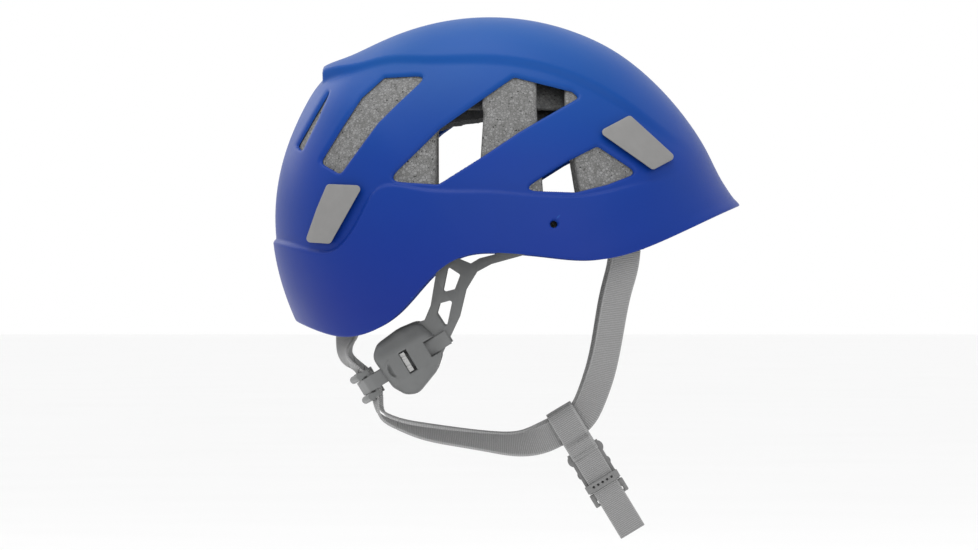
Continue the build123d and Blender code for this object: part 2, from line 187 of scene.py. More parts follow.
# shell: slices across the head are the side profile, shrunk towards an axis across the ears
shellForm = {
    "halfWidth": 0.110,
    "roundness": 2.25,
    "axisHeight": -0.030,
    "profile": [
        (8, 149), (17.5, 146.4), (24, 143), (32, 143.3), (42, 144.8), (55, 146.6), (75, 149.9), (95, 152.4),
        (112, 153.8), (124, 155.6), (131, 157.3), (138, 153.8), (150, 146.3), (163, 138), (175, 129.8),
        (190, 120.6), (206, 113.5),
    ],
    "rim": mm([
        (150, 18), (132, 10.6), (110, 0.5), (85, -10.5), (54, -18), (27, -16.2), (0, -14), (-20, -15.6),
        (-34, -23.2), (-61, -51.3), (-75, -59.4), (-89, -62), (-108, -57.5), (-140, -43),
    ]),
    "crest": mm([
        (-102, 22), (-86, 38), (-70, 46), (-42, 61), (-10, 67), (38, 68), (77, 65), (100, 56), (124, 20),
    ]),
    "band": mm([
        (-150, -2), (-115, -10.5), (-104, -13), (-95, -12), (-90, -8), (-79, 9.5), (-69, 23.5), (-48, 23),
        (-6, 21), (27, 18.4), (50, 19), (76, 25), (96, 30), (150, 46),
    ]),
    "windows": [
        (mm([(-105, 39), (-93, 32), (-71, 62), (-60, 73), (-42, 90), (-68, 89), (-81, 77), (-92, 60)]), 0.003),
        (mm([(-66, 28), (-36, 26), (-9, 43), (11, 56.5), (46, 77), (42, 80.5), (8, 89), (-35, 58.5)]), 0.004),
        (mm([(12, 22.5), (39, 39.5), (56.5, 48.5), (80, 33), (62, 26), (44, 21.5)]), 0.003),
        (mm([(-98, 85), (-119, 49), (-116, 46), (-107, 64)]), 0.002),
    ],
    "hole": (0.0305, 0.0025, 0.002),
    "wall": 0.002,
    "crestHeight": 0.0029,
    "crestStep": 0.0048,
    "crestFade": (0.118, 0.060, 0.02),  # gone ahead of, fading over, only above
    "crestEnd": (130.5, 5.0, 1.0),  # degrees about the ear axis, spread, gain
    "brimFlare": (0.0013, 0.007),  # out, over the last of the edge
    "brimFade": (0.09, 0.03),
    "bandHeight": 0.0021,
    "bandStep": 0.0028,
    "bandFade": (0.112, 0.055),
    "windowLip": (0.0022, 0.0017),  # width, drop
    "holeLip": 1.6,
    "rimLip": (0.0013, 0.0008),
    "grid": (180, 150),
    "sheet": (107, 98.5, 87.4),  # degrees: middle and half span front to back, half span across
    "mergeBelow": 0.00022,
    "nearCut": 0.0030,
    "nearFeature": 0.0065,
    "deepInside": -0.004,
    "smoothBelow": 50,
}
shellRadius = smoothCurve([p[0] for p in shellForm["profile"]], [p[1] / 1000 for p in shellForm["profile"]])


def domePoint(angle, turn, inset):
    # angle about the ear axis from the front, turn from the middle plane to the ears, both in degrees
    power = 2 / shellForm["roundness"]
    across = np.sign(turn) * (shellForm["halfWidth"] - inset) * np.abs(np.sin(np.radians(turn))) ** power
    reach = np.cos(np.radians(turn)) ** power * (shellRadius(angle) - inset)
    x = reach * np.cos(np.radians(angle))
    z = shellForm["axisHeight"] + reach * np.sin(np.radians(angle))
    return np.stack([x, across, z], axis=-1)


def aboveRim(x, z):
    line = smoothPath(shellForm["rim"], 120)
    near, _ = distanceTo(x, z, [tuple(p) for p in line], False)
    height = np.interp(x, line[::-1, 0], line[::-1, 1])
    return np.where(z > height, near, -near)


def outsideWindows(x, z):
    # distance to the nearest window, negative inside one
    best = np.full(x.shape, 1e9)
    for outline, corner in shellForm["windows"]:
        near, inside = distanceTo(x, z, roundOutline(outline, corner), True)
        best = np.minimum(best, np.where(inside, -near, near))
    return best


def outsideHole(x, z):
    hx, hz, radius = shellForm["hole"]
    return np.hypot(x - hx, z - hz) - radius


def belowBand(x, z):
    line = smoothPath(shellForm["band"], 160)
    near, _ = distanceTo(x, z, [tuple(p) for p in line], False)
    height = np.interp(x, line[:, 0], line[:, 1])
    return np.where(z < height, near, -near)


def insideCrest(x, y):
    half = smoothPath(shellForm["crest"], 60)
    whole = [tuple(p) for p in half] + [(p[0], -p[1]) for p in half[::-1]]
    near, inside = distanceTo(x, y, whole, True)
    return np.where(inside, near, -near)


def shellRelief(base):
    # how far each spot of the outer face stands above the plain dome
    x, y, z = base.T
    crest = easeStep(insideCrest(x, y) / shellForm["crestStep"] + 0.5) * shellForm["crestHeight"]
    ahead, fade, floor = shellForm["crestFade"]
    crest *= easeStep((ahead - x) / fade) * (z > floor)
    angle = np.degrees(np.arctan2(z - shellForm["axisHeight"], x))
    endAngle, spread, gain = shellForm["crestEnd"]
    crest *= 1 + gain * np.exp(-((angle - endAngle) / spread) ** 2)
    band = easeStep(belowBand(x, z) / shellForm["bandStep"] + 0.5) * shellForm["bandHeight"]
    ahead, fade = shellForm["bandFade"]
    band *= easeStep((ahead - x) / fade)
    flare, reach = shellForm["brimFlare"]
    behind, fade = shellForm["brimFade"]
    brim = flare * easeStep(1 - aboveRim(x, z) / reach) * easeStep((x - behind) / fade)
    relief = crest + band + brim
    for distance, (width, drop) in (
        (np.minimum(outsideWindows(x, z), outsideHole(x, z) * shellForm["holeLip"]), shellForm["windowLip"]),
        (aboveRim(x, z), shellForm["rimLip"]),
    ):
        t = 1 - np.clip(distance / width, 0, 1)
        relief -= drop * (1 - np.sqrt(1 - t * t))
    return relief


def markPlaces(obj, first, second):
    # keeps each corner's two working coordinates with it through cuts
    attribute = obj.data.attributes.new("place", "FLOAT_VECTOR", "POINT")
    places = np.stack([first, second, 0 * first], axis=1)
    attribute.data.foreach_set("vector", places.astype(np.float32).ravel())


def readPlaces(obj):
    places = np.empty(len(obj.data.vertices) * 3)
    obj.data.attributes["place"].data.foreach_get("vector", places)
    return places.reshape(-1, 3)


def buildShell():
    columns, rows = shellForm["grid"]
    bpy.ops.object.select_all(action="DESELECT")
    bpy.ops.mesh.primitive_grid_add(x_subdivisions=columns, y_subdivisions=rows, size=2)
    shell = bpy.context.object
    shell.name = "outerShell"
    co = readCorners(shell)
    middle, halfLength, halfWidth = shellForm["sheet"]
    markPlaces(shell, middle + halfLength * co[:, 0], halfWidth * co[:, 1])

    def keepDistance(base):
        x, y, z = base.T
        return np.minimum(np.minimum(aboveRim(x, z), outsideWindows(x, z)), outsideHole(x, z))

    def faceMean(values):
        corners = np.empty(len(shell.data.loops), int)
        shell.data.loops.foreach_get("vertex_index", corners)
        starts = np.empty(len(shell.data.polygons), int)
        shell.data.polygons.foreach_get("loop_start", starts)
        totals = np.empty(len(shell.data.polygons), int)
        shell.data.polygons.foreach_get("loop_total", totals)
        sums = np.add.reduceat(values[corners], starts)
        return sums / totals

    for reach, features in ((shellForm["nearFeature"], True), (shellForm["nearCut"], False)):
        places = readPlaces(shell)
        base = domePoint(places[:, 0], places[:, 1], 0)
        near = np.abs(keepDistance(base))
        if features:
            near = np.minimum(near, np.abs(belowBand(base[:, 0], base[:, 2])))
            near = np.minimum(near, np.abs(insideCrest(base[:, 0], base[:, 1])))
        kept = faceMean(keepDistance(base)) > shellForm["deepInside"]
        pickFaces(shell, (faceMean(near) < reach) & kept)
        bpy.ops.mesh.subdivide(number_cuts=1)
        bpy.ops.object.mode_set(mode="OBJECT")
    # the sheet is laid flat with distance as height, and cut along the rim, the windows and the hole
    places = readPlaces(shell)
    keep = keepDistance(domePoint(places[:, 0], places[:, 1], 0))
    writeCorners(shell, np.stack([places[:, 0] * 0.01, places[:, 1] * 0.01, keep * 10], axis=1))
    cutBelowZero(shell, 1e-6)
    places = readPlaces(shell)
    base = domePoint(places[:, 0], places[:, 1], 0)
    writeCorners(shell, domePoint(places[:, 0], places[:, 1], -shellRelief(base)))
    pickOnly(shell)
    bpy.ops.object.mode_set(mode="EDIT")
    bpy.ops.mesh.select_all(action="SELECT")
    bpy.ops.mesh.remove_doubles(threshold=shellForm["mergeBelow"])
    bpy.ops.mesh.normals_make_consistent(inside=False)
    bpy.ops.object.mode_set(mode="OBJECT")
    axis = Vector((0, 0, shellForm["axisHeight"]))
    if sum(p.normal.dot(p.center - axis) for p in list(shell.data.polygons)[::50]) < 0:
        shell.data.flip_normals()
    wall = shell.modifiers.new("wall", "SOLIDIFY")
    wall.thickness = shellForm["wall"]
    wall.offset = -1
    applyAll(shell)
    bpy.ops.object.shade_smooth_by_angle(angle=math.radians(shellForm["smoothBelow"]))
    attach(shell, "helmet")
    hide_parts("shell")
    return shell


outerShell = buildShell()
print("shell:", len(outerShell.data.polygons), "faces")


# foam liners: the moulded blocks with their edges eased, as bead foam comes out of its mould
foam = {"voxel": 0.0017, "smoothing": 6, "pull": 0.5}


def easeFoam(node, name):
    piece = copyNode(node, name)
    remesh = piece.modifiers.new("beads", "REMESH")
    remesh.mode = "VOXEL"
    remesh.voxel_size = foam["voxel"]
    soften = piece.modifiers.new("ease", "SMOOTH")
    soften.iterations = foam["smoothing"]
    soften.factor = foam["pull"]
    applyAll(piece)
    bpy.ops.object.shade_smooth()
    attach(piece, frame["nodes"][node]["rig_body"])
    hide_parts(node)
    return piece


def copyNode(node, name):
    # a merged copy of a node's mesh, free of the frame's own marks
    source = frame["nodes"][node]
    piece = source.copy()
    piece.data = source.data.copy()
    bpy.context.scene.collection.objects.link(piece)
    piece.parent = None
    piece.name = name
    piece.data.name = name
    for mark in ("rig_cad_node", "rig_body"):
        del piece[mark]
    pickOnly(piece)
    bpy.ops.object.mode_set(mode="EDIT")
    bpy.ops.mesh.select_all(action="SELECT")
    bpy.ops.mesh.remove_doubles(threshold=2e-6)
    bpy.ops.object.mode_set(mode="OBJECT")
    return piece


ringFoam = easeFoam("ring_liner", "ringFoam")
crownFoam = easeFoam("crown_liner", "crownFoam")
print("foam:", len(ringFoam.data.polygons), len(crownFoam.data.polygons), "faces")


# moulded parts: degrees that count as flat, as an edge to round, and as smooth
edges = {"flatBelow": 2, "bevelAbove": 35, "smoothBelow": 40}


def easePlastic(node, name, width, segments):
    # the node's own form with its sharp edges rounded
    piece = copyNode(node, name)
    bpy.ops.object.mode_set(mode="EDIT")
    bpy.ops.mesh.select_all(action="SELECT")
    bpy.ops.mesh.dissolve_limited(angle_limit=math.radians(edges["flatBelow"]))
    bpy.ops.object.mode_set(mode="OBJECT")
    bevel = piece.modifiers.new("edges", "BEVEL")
    bevel.width = width
    bevel.segments = segments
    bevel.limit_method = "ANGLE"
    bevel.angle_limit = math.radians(edges["bevelAbove"])
    applyAll(piece)
    bpy.ops.object.shade_smooth_by_angle(angle=math.radians(edges["smoothBelow"]))
    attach(piece, frame["nodes"][node]["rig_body"])
    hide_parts(node)
    return piece


# node, piece, slot, edge width and segments
sideParts = [
    ("lamp_clip_front_", "lampClip_front_", "clip_grey", 0.0007, 3),
    ("strap_anchor_front_", "strapAnchor_front_", "grey_plastic", 0.0004, 2),
    ("lamp_clip_rear_", "lampClip_rear_", "clip_grey", 0.0007, 3),
    ("strap_anchor_rear_", "strapAnchor_rear_", "grey_plastic", 0.0004, 2),
    ("cradle_arm_", "cradleArm_", "grey_plastic", 0.0005, 3),
    ("adjuster_pawl_", "adjusterPawl_", "pawl_grey", 0.0003, 2),
    ("strap_keeper_", "strapKeeper_", "grey_plastic", 0.0004, 2),
    ("pivot_pin_", "pivotPin_", "grey_plastic", 0.0004, 2),
]
singleParts = [
    ("nape_band", "napeBand", "grey_plastic", 0.0002, 1),
    ("brow_band", "browBand", "grey_plastic", 0.0004, 2),
    ("buckle_socket", "buckleSocket", "buckle_grey", 0.0004, 2),
    ("buckle_plug", "bucklePlug", "buckle_grey", 0.0006, 2),
    ("buckle_prong_front", "buckleProng_front", "buckle_grey", 0.0003, 2),
    ("buckle_prong_back", "buckleProng_back", "buckle_grey", 0.0003, 2),
]
plastics = []
for side in ("right", "left"):
    for node, name, slotName, width, segments in sideParts:
        plastics.append((easePlastic(node + side, name + side, width, segments), slotName))
for node, name, slotName, width, segments in singleParts:
    plastics.append((easePlastic(node, name, width, segments), slotName))
print("plastic parts:", len(plastics))

# webbing: each strap is a flat sheet laid along its worn line and given its woven thickness
web = {
    "width": 0.016, "thickness": 0.0015, "selvedge": 0.0004, "columns": 8, "rowLength": 0.0022,
    "crown": 0.00012, "ripple": 0.00025, "rippleAlong": (70, 1.3), "rippleAcross": (1.7, 0.4), "step": 0.002,
    "bevelAbove": 60, "smoothBelow": 50,
}


def strapLine(stops):
    # stops are (x, y, z) and a direction across the width, in mm; gives a curve over 0 to 1
    stops = np.array(stops, float)
    places, across = stops[:, :3] / 1000, stops[:, 3:]
    across = across / np.linalg.norm(across, axis=1)[:, None]
    for i in range(1, len(across)):
        if across[i] @ across[i - 1] < 0:
            across[i] *= -1
    along = np.concatenate([[0], np.cumsum(np.linalg.norm(np.diff(places, axis=0), axis=1))])
    curves = [smoothCurve(along, column) for column in np.hstack([places, across]).T]

    def value(t):
        spots = np.asarray(t) * along[-1]
        both = np.stack([curve(spots) for curve in curves], axis=-1)
        return both[..., :3], both[..., 3:]

    return value, along


def webPiece(name, line, start, end, width=None, thickness=None, replaced=()):
    curve, along = line
    width, thickness = width or web["width"], thickness or web["thickness"]
    length = (end - start) * along[-1]
    rows = max(4, int(length / web["rowLength"]))
    bpy.ops.object.select_all(action="DESELECT")
    bpy.ops.mesh.primitive_grid_add(x_subdivisions=rows, y_subdivisions=web["columns"], size=1)
    strap = bpy.context.object
    strap.name = name
    strap.data.name = name
    flat = readCorners(strap)
    t = np.clip(start + (flat[:, 0] + 0.5) * (end - start), 0, 1)
    side = flat[:, 1] * 2
    centre, across = curve(t)
    ahead, _ = curve(np.clip(t + web["step"], 0, 1))
    behind, _ = curve(np.clip(t - web["step"], 0, 1))
    run = ahead - behind
    run /= np.linalg.norm(run, axis=1)[:, None]
    across = across - run * np.sum(across * run, axis=1)[:, None]
    across /= np.linalg.norm(across, axis=1)[:, None]
    normal = np.cross(run, across)
    (rateAlong, startAlong), (rateAcross, startAcross) = web["rippleAlong"], web["rippleAcross"]
    wave = np.sin(t * along[-1] * rateAlong + startAlong) * np.sin(side * rateAcross + startAcross)
    crown = web["crown"] * (1 - side ** 2) + web["ripple"] * wave
    writeCorners(strap, centre + across * (side * width / 2)[:, None] + normal * crown[:, None])
    corner = np.empty(len(strap.data.loops), int)
    strap.data.loops.foreach_get("vertex_index", corner)
    uv = np.stack([t[corner] * along[-1], (side[corner] + 1) / 2 * width], axis=1)
    strap.data.uv_layers.active.data.foreach_set("uv", uv.astype(np.float32).ravel())
    weave = strap.modifiers.new("weave", "SOLIDIFY")
    weave.thickness = thickness
    weave.offset = 0
    edge = strap.modifiers.new("selvedge", "BEVEL")
    edge.width = web["selvedge"]
    edge.segments = 2
    edge.limit_method = "ANGLE"
    edge.angle_limit = math.radians(web["bevelAbove"])
    applyAll(strap)
    bpy.ops.object.shade_smooth_by_angle(angle=math.radians(web["smoothBelow"]))
    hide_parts(*replaced)
    return strap


# chin webbing: it lies in a plane that leans with the jaw, through the sewn junction
chin = {
    "ahead": 35, "height": -106.4, "lean": math.radians(31.3), "side": 52.6, "crossing": 9,
    "loopWidth": 0.0168, "loopThickness": 0.0013, "bendFrom": 0.05, "bendTo": 0.97,
}
chinAcross = (math.cos(chin["lean"]), 0, math.sin(chin["lean"]))
chinUp = (-math.sin(chin["lean"]), 0, math.cos(chin["lean"]))


def chinSpot(across, up, out):
    # mm in the plane of the chin webbing, on the wearer's right, to mm in the frame
    c, s = math.cos(chin["lean"]), math.sin(chin["lean"])
    return chin["ahead"] + across * c - up * s, -out, chin["height"] + across * s + up * c


def mirrorStops(stops):
    return [(x, -y, z, wx, -wy, wz) for x, y, z, wx, wy, wz in stops]


# nape keeper: the side strap passes behind the toothed band there, on the band's sloping plane
strip = {"slope": math.radians(31), "ahead": -54, "height": -76.8}
keeper = {"along": -28.4, "side": 62.0, "turn": (5.2, 22.0), "behind": 1.8, "reach": 9}
slopeX = Vector((math.cos(strip["slope"]), 0, math.sin(strip["slope"])))
slopeUp = Vector((-math.sin(strip["slope"]), 0, math.cos(strip["slope"])))
turn = Vector(keeper["turn"]).normalized()
keeperOut = (slopeX * -turn.y + Vector((0, turn.x, 0))).normalized()
stripOrigin = Vector((strip["ahead"], 0, strip["height"]))
keeperOrigin = stripOrigin + slopeX * keeper["along"] + Vector((0, keeper["side"], 0))
keeperAcross = slopeUp.cross(keeperOut)
keeperRun = keeperOut.cross(keeperAcross)
inside = keeperOrigin - keeperOut * keeper["behind"]
low, top = inside - keeperRun * keeper["reach"], inside + keeperRun * keeper["reach"]
napeWay = tuple(-keeperAcross)
crossFront = chinSpot(chin["crossing"], -chin["crossing"], -chin["side"])
crossBack = chinSpot(-chin["crossing"], -chin["crossing"], -chin["side"])
crossing = [crossFront + chinUp, crossBack + chinUp]  # both straps lie through the sewn loop
frontStops = [
    (73, 80, -11.5, 1, 0, 0), (72, 79, -20, 1, 0, 0), (68.5, 75, -34, 1, -0.1, 0),
    (64.2, 68, -56, 1, -0.2, -0.1), (59.5, 60, -80, 1, -0.2, -0.3), (54, 54.5, -97, 0.8, 0, -0.6), *crossing,
]
rearStops = [
    *crossing, (14, 53.5, -125, 0.05, 0.6, -0.8), (-5, 55, -124.2, 0, 0.8, -0.6),
    (-27, 58, -121.3, 0.05, 0.85, -0.5), (-46, 60.5, -118, 0.1, 0.9, -0.42),
    (-60, 61.5, -113.6, 0.12, 0.95, -0.25), (-70.3, 62, -106.5, 0.1, 1, -0.1),
    tuple(low) + napeWay, tuple(top) + napeWay, (-87.8, 58, -76, 0.15, 0.98, 0),
    (-89.6, 51, -68, 0.45, 0.9, 0), (-89, 45.5, -60, 0.75, 0.65, 0), (-88, 45, -51.5, 1, 0, 0),
]
joins = {"lap": 0.01, "margin": 0.06}  # overlap at the junction, and the stiff share at each end of a span
sideStraps = []
for side, sign in (("right", -1), ("left", 1)):
    node = ("side_strap_" + side,)
    front = strapLine(mirrorStops(frontStops) if sign < 0 else frontStops)
    rear = strapLine(mirrorStops(rearStops) if sign < 0 else rearStops)
    piece = webPiece("frontStrap_" + side, front, 0, 1, replaced=node)
    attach(piece, "helmet")
    sideStraps.append(piece)
    cuts = rear[1] / rear[1][-1]
    spans = [
        ("jawStrap_" + side, cuts[1] - joins["lap"], cuts[6], "helmet", "cradle"),
        ("lowNapeStrap_" + side, cuts[6], cuts[8], "cradle", "nape_band"),
        ("keptStrap_" + side, cuts[8], cuts[9], "nape_band", None),
        ("highNapeStrap_" + side, cuts[9], cuts[10], "nape_band", "cradle"),
        ("rearStrap_" + side, cuts[10], 1, "cradle", "helmet"),
    ]
    for name, start, end, first, second in spans:
        piece = webPiece(name, rear, start, end, replaced=node)
        if second:
            begin, finish = rear[0](start)[0], rear[0](end)[0]
            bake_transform(piece)
        else:
            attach(piece, first)
        sideStraps.append(piece)
print("side straps:", len(sideStraps))


def chinLine(spots, sign=1):
    stops = [chinSpot(0, up, out * sign) + chinAcross for up, out in spots]
    return strapLine(stops)


loopSpots = [
    (-28.6, 55.4), (-24, 55.5), (-17, 55.5), (-9, 55.45), (-2.4, 55.0), (0.1, 53.8), (0.6, 52.6), (0.1, 51.4),
    (-2.4, 50.2), (-9, 49.75), (-17, 50.0), (-21.5, 51.4), (-25, 53.4), (-28.2, 54.0),
]
chinStraps = []
for side, sign in (("right", 1), ("left", -1)):
    piece = webPiece(
        "sewnLoop_" + side, chinLine(loopSpots, sign), 0, 1, width=chin["loopWidth"],
        thickness=chin["loopThickness"], replaced=("chin_strap_" + side,),
    )
    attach(piece, "helmet")
    chinStraps.append(piece)
tailSpots = [(-19.5, 53.9), (-27, 54.0), (-36, 54.2), (-45, 54.1), (-52, 53.9), (-64, 53.8), (-81, 54.4)]
piece = webPiece("chinTail", chinLine(tailSpots), 0, 1, replaced=("chin_strap_right",))
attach(piece, "helmet")
chinStraps.append(piece)
farSpots = [
    (-18.8, -52.8), (-34, -50.5), (-50, -43.5), (-61, -30), (-66, -12), (-67, 6), (-66, 22), (-63.5, 34),
    (-59.5, 47.6),
]
farLine = chinLine(farSpots)
piece = webPiece("chinRun", farLine, 0, 1, replaced=("chin_strap_left",))
runStart, runEnd = farLine[0](chin["bendFrom"])[0], farLine[0](chin["bendTo"])[0]
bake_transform(piece)
chinStraps.append(piece)

# thread: bar tacks across the flap of each sewn loop
thread = {
    "length": 0.0019, "radius": 0.00022, "flatness": 0.8, "columns": 12, "pitch": 1.25,
    "rows": (-18.2, -19.6, -26.6), "out": 56.4, "lean": 28, "waver": 0.06,
}


def sewRow(name, sign):
    bpy.ops.object.select_all(action="DESELECT")
    bpy.ops.mesh.primitive_uv_sphere_add(segments=8, ring_count=6, radius=thread["radius"])
    stitch = bpy.context.object
    stitch.name = name
    stitch.data.name = name
    one = readCorners(stitch)
    one[:, 2] *= thread["length"] / 2 / thread["radius"]
    pieces = [stitch]
    for row, up in enumerate(thread["rows"]):
        for column in range(thread["columns"]):
            if row or column:
                copy = stitch.copy()
                copy.data = stitch.data.copy()
                bpy.context.scene.collection.objects.link(copy)
                pieces.append(copy)
            turn = math.radians(thread["lean"] * (1 if column % 2 else -1))
            turn += random.uniform(-thread["waver"], thread["waver"])
            across = (column - (thread["columns"] - 1) / 2) * thread["pitch"]
            way = np.array(chinAcross) * math.cos(turn) + np.array(chinUp) * math.sin(turn)
            outward = np.array((0, thread["flatness"], 0))
            centre = np.array(chinSpot(across, up, thread["out"] * sign)) / 1000
            axes = np.stack([np.cross(way, (0, 1, 0)), outward, way])
            writeCorners(pieces[-1], centre + one @ axes)
    bpy.ops.object.select_all(action="DESELECT")
    for piece in pieces:
        piece.select_set(True)
    bpy.context.view_layer.objects.active = stitch
    bpy.ops.object.join()
    bpy.ops.object.shade_smooth()
    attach(stitch, "helmet")
    return stitch


stitches = [sewRow("flapStitches_right", 1), sewRow("flapStitches_left", -1)]
print("chin straps:", len(chinStraps), "stitch rows:", len(stitches))

# adjuster housing: a thin hollow pillow over the toothed band
pillow = {
    "outline": mm([
        (-47, -52.5), (-60, -58.0), (-71.5, -66.5), (-74, -74.5), (-62, -91.5), (-54.5, -95.8), (-47, -95),
        (-36.5, -82), (-33.5, -73), (-38, -62),
    ]),
    "corner": 0.008,
    "base": 72.06,
    "edge": 0.0022,
    "rise": 0.0049,
    "shoulder": (0.0085, 2.2),  # width, fullness
    "edgeLip": (0.0016, 0.0012),  # width, drop
    "sag": (0.0016, 0.0072, 0.007),  # drop, from the middle line, over
    "dish": (0.0009, 0.021, 0.002, 0.006, 0.006),  # depth, ahead, flat radius, fade, starts ahead of
    "slot": (0.0050, 0.0136, 0.0008),  # width, length, ahead of the middle
    "slotLip": (0.0007, 0.0005, -0.001),  # width, drop, deepest inside
    "notch": (0.0140, 0.0049),  # behind this the strip is covered, half width
    "scoop": (-0.0088, 0.0030, 0.0056, 0.0016),  # chord, sag, half length, depth
    "scoopEdge": (0.0006, 0.2, 0.0022),
    "scoopRidge": (0.0005, 0.0009, 0.0007, 1.15),  # height, behind, spread, reach
    "wall": 0.0013,
    "grid": (96, 110),
    "sheet": (-0.0537, 0.044, -0.0742, 0.046),  # middle and size ahead, middle and size up
    "smoothBelow": 45,
}


def buildHousing(side, sign):
    bpy.ops.object.select_all(action="DESELECT")
    columns, rows = pillow["grid"]
    bpy.ops.mesh.primitive_grid_add(x_subdivisions=columns, y_subdivisions=rows, size=1)
    body = bpy.context.object
    body.name = "adjusterHousing_" + side
    body.data.name = body.name
    flat = readCorners(body)
    ahead, long, height, tall = pillow["sheet"]
    x = ahead + flat[:, 0] * long
    z = height + flat[:, 1] * tall
    markPlaces(body, x, z)

    def heights(x, z):
        near, inside = distanceTo(x, z, roundOutline(pillow["outline"], pillow["corner"]), True)
        edge = np.where(inside, near, -near)
        # u runs forward along the toothed strip, v across it
        slope = strip["slope"]
        dx, dz = x - strip["ahead"] / 1000, z - strip["height"] / 1000
        u = dx * math.cos(slope) + dz * math.sin(slope)
        v = -dx * math.sin(slope) + dz * math.cos(slope)
        wide, long, ahead = pillow["slot"]
        slot = np.maximum(np.abs(u - ahead) - wide / 2, np.abs(v) - long / 2)
        width, fullness = pillow["shoulder"]
        t = np.clip(edge / width, 0, 1)
        rise = pillow["edge"] + pillow["rise"] * np.sqrt(1 - (1 - t) ** fullness)
        width, drop = pillow["edgeLip"]
        lip = 1 - np.clip(edge / width, 0, 1)
        rise -= drop * (1 - np.sqrt(1 - lip ** 2))
        drop, start, over = pillow["sag"]
        rise -= drop * easeStep((np.abs(v) - start) / over)
        depth, ahead, flatRadius, fade, start = pillow["dish"]
        rise -= depth * easeStep((np.hypot(u - ahead, v) - flatRadius) / fade) * easeStep((u - start) / fade)
        chord, sag, half, depth = pillow["scoop"]
        steep, offset, fade = pillow["scoopEdge"]
        arc = u - (chord - sag * (1 - (v / half) ** 2))
        rise -= depth * easeStep(arc / steep + offset) * easeStep((chord - u) / fade) * (np.abs(v) < half)
        ridge, behind, spread, reach = pillow["scoopRidge"]
        rise += ridge * np.exp(-((arc + behind) / spread) ** 2) * (np.abs(v) < half * reach)
        notch = np.maximum(pillow["notch"][0] - u, np.abs(v) - pillow["notch"][1])
        slot = np.minimum(slot, notch)
        width, drop, deepest = pillow["slotLip"]
        lip = 1 - np.clip(slot / width, 0, 1)
        rise -= drop * (1 - np.sqrt(1 - lip ** 2)) * (slot > deepest)
        return np.minimum(edge, slot), rise

    keep, _ = heights(x, z)
    writeCorners(body, np.stack([x, z, keep], axis=1))
    cutBelowZero(body, 1e-7)
    places = readPlaces(body)
    _, rise = heights(places[:, 0], places[:, 1])
    y = sign * (pillow["base"] / 1000 + rise)
    writeCorners(body, np.stack([places[:, 0], y, places[:, 1]], axis=1))
    if sum(p.normal.y for p in body.data.polygons) * sign < 0:
        body.data.flip_normals()
    wall = body.modifiers.new("wall", "SOLIDIFY")
    wall.thickness = pillow["wall"]
    wall.offset = -1
    applyAll(body)
    bpy.ops.object.shade_smooth_by_angle(angle=math.radians(pillow["smoothBelow"]))
    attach(body, "cradle")
    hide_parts("adjuster_housing_" + side)
    return body


housings = [buildHousing("right", -1), buildHousing("left", 1)]
print("housings:", len(housings))

# pads: the plain blocks rounded over, pulled in between their edges and quilted
pads = {
    "voxel": 0.0014, "smoothing": 14, "pull": 0.5, "quilt": 0.00045, "channel": 0.014, "seam": 0.12,
    "headCentre": 0.004, "headRadius": 0.09,
}


def softPad(node, name):
    pad = copyNode(node, name)
    remesh = pad.modifiers.new("batting", "REMESH")
    remesh.mode = "VOXEL"
    remesh.voxel_size = pads["voxel"]
    soften = pad.modifiers.new("ease", "SMOOTH")
    soften.iterations = pads["smoothing"]
    soften.factor = pads["pull"]
    applyAll(pad)
    co = readCorners(pad)
    normals = np.empty(len(co) * 3)
    pad.data.vertices.foreach_get("normal", normals)
    normals = normals.reshape(-1, 3)
    angle = np.arctan2(co[:, 1], co[:, 0] - pads["headCentre"])
    along = co[:, 0] if "crown" in node else angle * pads["headRadius"]
    seam = np.abs((along / pads["channel"]) % 1 - 0.5) * 2
    writeCorners(pad, co - normals * (pads["quilt"] * np.exp(-((1 - seam) / pads["seam"]) ** 2))[:, None])
    pickOnly(pad)
    bpy.ops.object.shade_smooth()
    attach(pad, frame["nodes"][node]["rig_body"])
    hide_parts(node)
    return pad


padPieces = [
    softPad("brow_pad", "browPad"),
    softPad("crown_pad_middle", "crownPad_middle"),
    softPad("crown_pad_right", "crownPad_right"),
    softPad("crown_pad_left", "crownPad_left"),
]
print("pads:", len(padPieces))

# finishes
def spreadNodes(nodes):
    for place, node in enumerate(nodes):
        if node.type != "FRAME":
            node.location = (place % 6 * 220 - 900, 300 - place // 6 * 260)


def openMaterial(name):
    material = bpy.data.materials.new(name)
    material.use_nodes = True
    material.node_tree.nodes.clear()
    return material, material.node_tree.nodes, material.node_tree.links


# low, middle and high paint the blue darker at the rim and lighter at the crown, painted shade and painted
# light by height; the edge colour is a painted highlight on sharp edges
shellPaint = {
    "low": (0.0040, 0.0190, 0.175), "middle": (0.0028, 0.0300, 0.205), "high": (0.0015, 0.0640, 0.255),
    "paintedEdgeHighlight": (0.02, 0.11, 0.34), "roughness": 0.42, "coat": 0.0, "grain": 1400, "grainDepth": 0.05,
}


